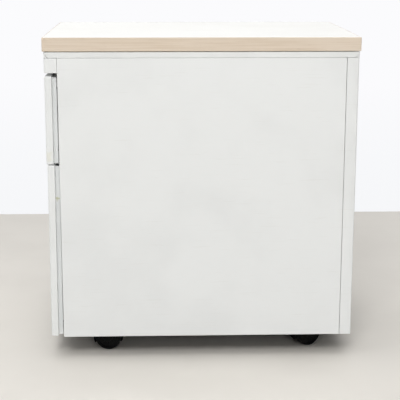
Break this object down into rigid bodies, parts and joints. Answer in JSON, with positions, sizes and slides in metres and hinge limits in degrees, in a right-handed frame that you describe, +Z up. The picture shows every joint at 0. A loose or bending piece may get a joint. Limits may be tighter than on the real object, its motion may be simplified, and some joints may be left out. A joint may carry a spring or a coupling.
{
  "type": "desk pedestal",
  "caption": "Mobile desk pedestal: painted steel case on swivel casters, pen drawer over a file drawer, finger grips at the sides of the fronts, key lock and a board top.",
  "frame": {"origin": "on the floor under the middle of the board", "axes": "+Z up, drawer fronts face -Y, X across, right is +X"},
  "size_m": [0.4, 0.58, 0.611],
  "materials": {
    "powder_paint": "light grey-white powder coat, satin",
    "inner_paint": "light grey powder coat, satin",
    "base_paint": "black powder coat, satin",
    "board_laminate": "near-white melamine-faced board",
    "maple_band": "pale maple print, fine grain",
    "zinc_steel": "zinc plated, dull",
    "nylon_black": "black nylon, satin",
    "tray_grey": "moulded grey plastic",
    "cast_weight": "black primed casting",
    "bumper_rubber": "grey rubber",
    "lock_chrome": "bright nickel-chrome"
  },
  "bodies": {
    "case": {"worktop": "board_laminate", "edge_bands": "maple_band", "top_plate": "inner_paint", "top_strip_front": "powder_paint", "top_strip_rear": "powder_paint", "top_strip_left": "powder_paint", "top_strip_right": "powder_paint", "front_rail": "powder_paint", "side_panel_right": "powder_paint", "side_panel_left": "powder_paint", "liner_left": "inner_paint", "liner_right": "inner_paint", "rear_panel": "powder_paint", "base_pan": "base_paint", "counterweight": "cast_weight", "upper_slide_outer_left": "zinc_steel", "upper_slide_outer_right": "zinc_steel", "lower_slide_outer_left": "zinc_steel", "lower_slide_outer_right": "zinc_steel", "lock_housing": "lock_chrome", "lock_bar_guides": "zinc_steel", "drawer_bumpers": "bumper_rubber", "caster_plates": "zinc_steel", "caster_screws": "zinc_steel", "case_screws": "zinc_steel"},
    "upper_drawer": {"upper_front_skin": "powder_paint", "upper_front_pan": "powder_paint", "upper_box": "inner_paint", "upper_slide_inner_left": "zinc_steel", "upper_slide_inner_right": "zinc_steel", "upper_drawer_screws": "zinc_steel"},
    "pen_tray": {"pen_tray": "tray_grey"},
    "lower_drawer": {"lower_front_skin": "powder_paint", "lower_front_pan": "powder_paint", "lower_box": "inner_paint", "lower_slide_inner_left": "zinc_steel", "lower_slide_inner_right": "zinc_steel", "lower_drawer_screws": "zinc_steel"},
    "lower_middle_slides": {"lower_slide_middle_left": "zinc_steel", "lower_slide_middle_right": "zinc_steel"},
    "file_divider": {"file_divider": "inner_paint"},
    "lock_plug": {"lock_plug": "lock_chrome", "lock_cam": "zinc_steel"},
    "lock_bar": {"lock_bar": "zinc_steel"},
    "caster_front_right": {"caster_hood_front_right": "nylon_black", "caster_axle_front_right": "zinc_steel"},
    "wheel_a_front_right": {"caster_wheel_a_front_right": "nylon_black"},
    "wheel_b_front_right": {"caster_wheel_b_front_right": "nylon_black"},
    "caster_front_left": {"caster_hood_front_left": "nylon_black", "caster_axle_front_left": "zinc_steel"},
    "wheel_a_front_left": {"caster_wheel_a_front_left": "nylon_black"},
    "wheel_b_front_left": {"caster_wheel_b_front_left": "nylon_black"},
    "caster_rear_right": {"caster_hood_rear_right": "nylon_black", "caster_axle_rear_right": "zinc_steel"},
    "wheel_a_rear_right": {"caster_wheel_a_rear_right": "nylon_black"},
    "wheel_b_rear_right": {"caster_wheel_b_rear_right": "nylon_black"},
    "caster_rear_left": {"caster_hood_rear_left": "nylon_black", "caster_axle_rear_left": "zinc_steel"},
    "wheel_a_rear_left": {"caster_wheel_a_rear_left": "nylon_black"},
    "wheel_b_rear_left": {"caster_wheel_b_rear_left": "nylon_black"}
  },
  "joints": [
    {"name": "upper_drawer_slide", "type": "slide", "parent": "case", "child": "upper_drawer", "axis": [0, -1, 0], "range_m": [0, 0.37]},
    {"name": "pen_tray_slide", "type": "slide", "parent": "upper_drawer", "child": "pen_tray", "axis": [0, 1, 0], "range_m": [0, 0.38]},
    {"name": "lower_drawer_slide", "type": "slide", "parent": "case", "child": "lower_drawer", "axis": [0, -1, 0], "range_m": [0, 0.48]},
    {"name": "lower_middle_slide", "type": "slide", "parent": "case", "child": "lower_middle_slides", "axis": [0, -1, 0], "range_m": [0, 0.24]},
    {"name": "file_divider_slide", "type": "slide", "parent": "lower_drawer", "child": "file_divider", "axis": [0, 1, 0], "range_m": [-0.23, 0.22]},
    {"name": "lock_turn", "type": "hinge", "parent": "case", "child": "lock_plug", "pos_m": [-0.184, -0.2875, 0.5603], "axis": [0, 1, 0], "range_deg": [0, 90]},
    {"name": "lock_bar_slide", "type": "slide", "parent": "case", "child": "lock_bar", "axis": [0, 0, 1], "range_m": [0, 0.00848]},
    {"name": "swivel_front_right", "type": "hinge", "parent": "case", "child": "caster_front_right", "pos_m": [0.134, -0.194, 0.06], "axis": [0, 0, 1], "continuous": true},
    {"name": "roll_a_front_right", "type": "hinge", "parent": "caster_front_right", "child": "wheel_a_front_right", "pos_m": [0.13661, -0.17923, 0.025], "axis": [0.9848, -0.1736, 0], "continuous": true},
    {"name": "roll_b_front_right", "type": "hinge", "parent": "caster_front_right", "child": "wheel_b_front_right", "pos_m": [0.13661, -0.17923, 0.025], "axis": [0.9848, -0.1736, 0], "continuous": true},
    {"name": "swivel_front_left", "type": "hinge", "parent": "case", "child": "caster_front_left", "pos_m": [-0.134, -0.194, 0.06], "axis": [0, 0, 1], "continuous": true},
    {"name": "roll_a_front_left", "type": "hinge", "parent": "caster_front_left", "child": "wheel_a_front_left", "pos_m": [-0.13557, -0.17908, 0.025], "axis": [0.9945, 0.1045, 0], "continuous": true},
    {"name": "roll_b_front_left", "type": "hinge", "parent": "caster_front_left", "child": "wheel_b_front_left", "pos_m": [-0.13557, -0.17908, 0.025], "axis": [0.9945, 0.1045, 0], "continuous": true},
    {"name": "swivel_rear_right", "type": "hinge", "parent": "case", "child": "caster_rear_right", "pos_m": [0.134, 0.194, 0.06], "axis": [0, 0, 1], "continuous": true},
    {"name": "roll_a_rear_right", "type": "hinge", "parent": "caster_rear_right", "child": "wheel_a_rear_right", "pos_m": [0.12696, 0.20724, 0.025], "axis": [0.8829, 0.4695, 0], "continuous": true},
    {"name": "roll_b_rear_right", "type": "hinge", "parent": "caster_rear_right", "child": "wheel_b_rear_right", "pos_m": [0.12696, 0.20724, 0.025], "axis": [0.8829, 0.4695, 0], "continuous": true},
    {"name": "swivel_rear_left", "type": "hinge", "parent": "case", "child": "caster_rear_left", "pos_m": [-0.134, 0.194, 0.06], "axis": [0, 0, 1], "continuous": true},
    {"name": "roll_a_rear_left", "type": "hinge", "parent": "caster_rear_left", "child": "wheel_a_rear_left", "pos_m": [-0.13037, 0.20855, 0.025], "axis": [0.9703, -0.2419, 0], "continuous": true},
    {"name": "roll_b_rear_left", "type": "hinge", "parent": "caster_rear_left", "child": "wheel_b_rear_left", "pos_m": [-0.13037, 0.20855, 0.025], "axis": [0.9703, -0.2419, 0], "continuous": true}
  ],
  "couplings": [
    {"joint": "lower_middle_slide", "follows": "lower_drawer_slide", "ratio": 0.5},
    {"joint": "lock_turn", "follows": "lock_bar_slide", "rad_per_m": 185.1}
  ]
}
